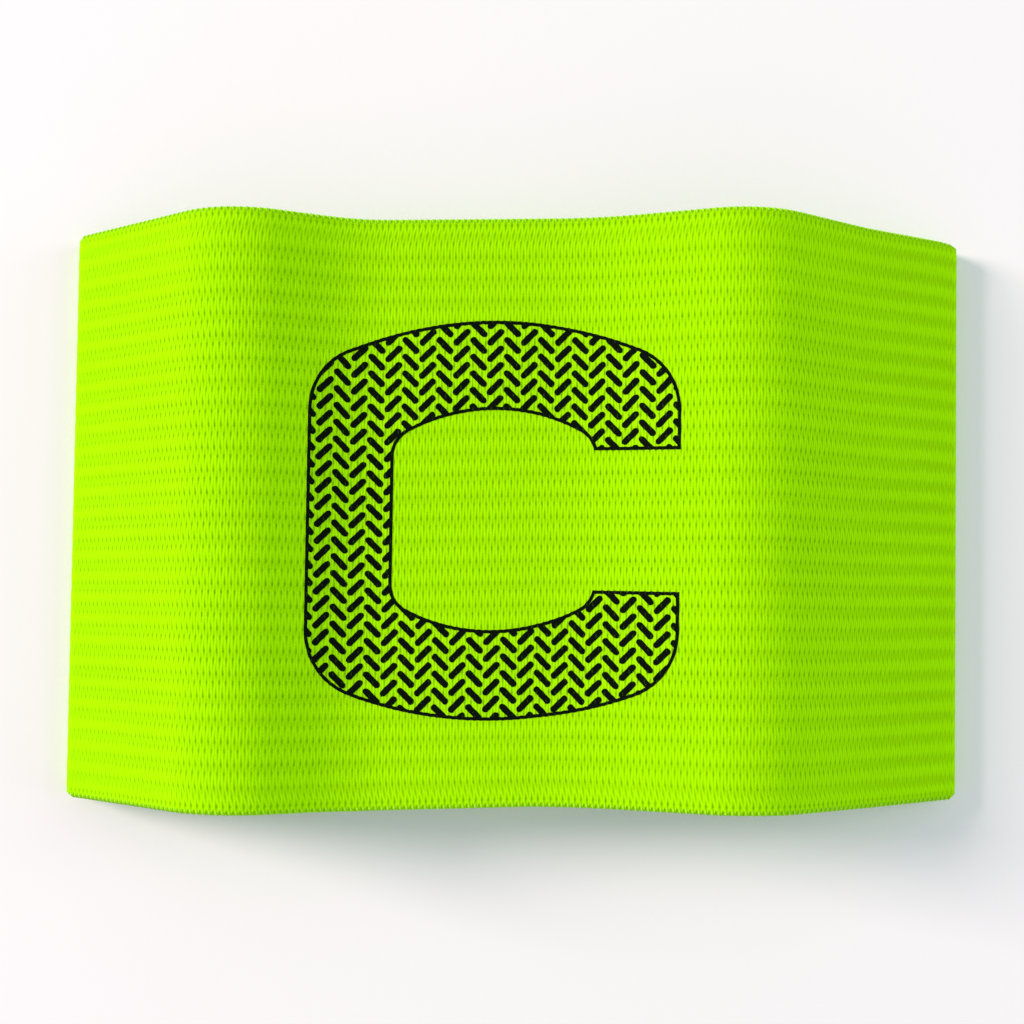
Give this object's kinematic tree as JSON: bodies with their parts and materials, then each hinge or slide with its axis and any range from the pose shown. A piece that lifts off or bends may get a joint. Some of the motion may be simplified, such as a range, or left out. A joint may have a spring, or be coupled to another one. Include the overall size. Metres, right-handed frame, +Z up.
{
  "type": "captain armband",
  "caption": "Wide ribbed elastic armband loop lying flat with two soft waves in its front layer and a printed letter C.",
  "frame": {"origin": "on the table under the middle of the lying band", "axes": "+X along the loop, towards the right fold; +Y along the band's width, towards the letter's top; +Z up"},
  "size_m": [0.1354, 0.085, 0.0204],
  "materials": {
    "neon_elastic": "matt knitted elastic",
    "black_ink": "matt screen print"
  },
  "bodies": {
    "root": {"elastic_band": "neon_elastic", "letter_print": "black_ink"}
  },
  "joints": []
}
